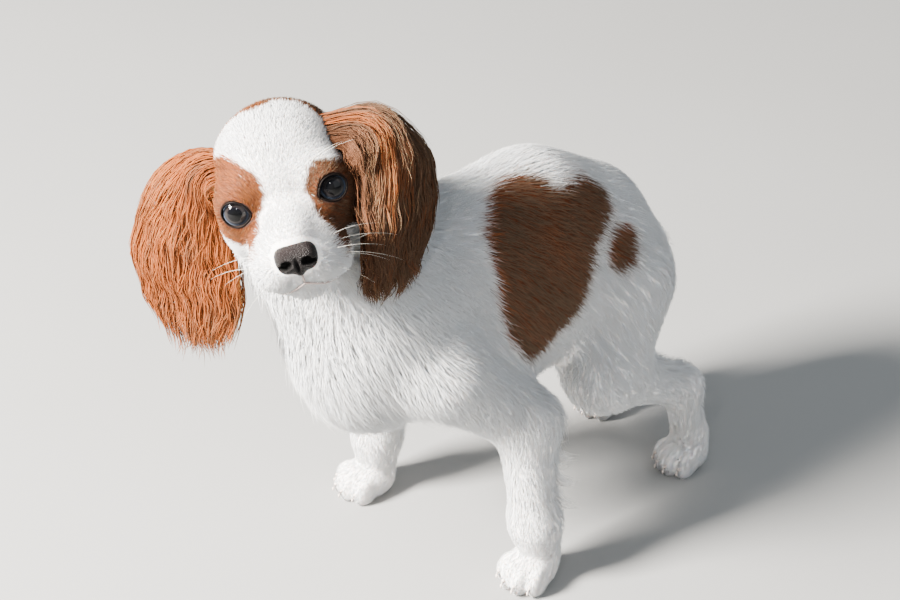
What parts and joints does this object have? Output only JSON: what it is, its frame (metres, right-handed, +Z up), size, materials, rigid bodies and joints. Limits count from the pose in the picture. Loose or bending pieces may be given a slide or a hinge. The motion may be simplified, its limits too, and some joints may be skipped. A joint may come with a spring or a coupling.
{
  "type": "cavalier king charles spaniel puppy figure",
  "caption": "Life-size still figure of a white and chestnut spaniel puppy, standing with its head turned to its left and its long ears hanging.",
  "frame": {"origin": "under the middle of the figure's box, at the level of the soles", "axes": "+X towards the dog's left, -Y towards its front, +Z up"},
  "size_m": [0.1496, 0.3148, 0.2931],
  "materials": {
    "white_coat": "soft fur",
    "chestnut_coat": "long soft fur",
    "nose_leather": "moist satin",
    "eye": "polished"
  },
  "bodies": {
    "root": {"head": "white_coat", "nose": "nose_leather", "eye_left": "eye", "eye_right": "eye", "ear_left": "chestnut_coat", "ear_right": "chestnut_coat", "neck": "white_coat", "torso": "white_coat", "tail": "white_coat", "foreleg_left": "white_coat", "forepaw_left": "white_coat", "foreleg_right": "white_coat", "forepaw_right": "white_coat", "hindleg_left": "white_coat", "hindpaw_left": "white_coat", "hindleg_right": "white_coat", "hindpaw_right": "white_coat"}
  },
  "joints": []
}
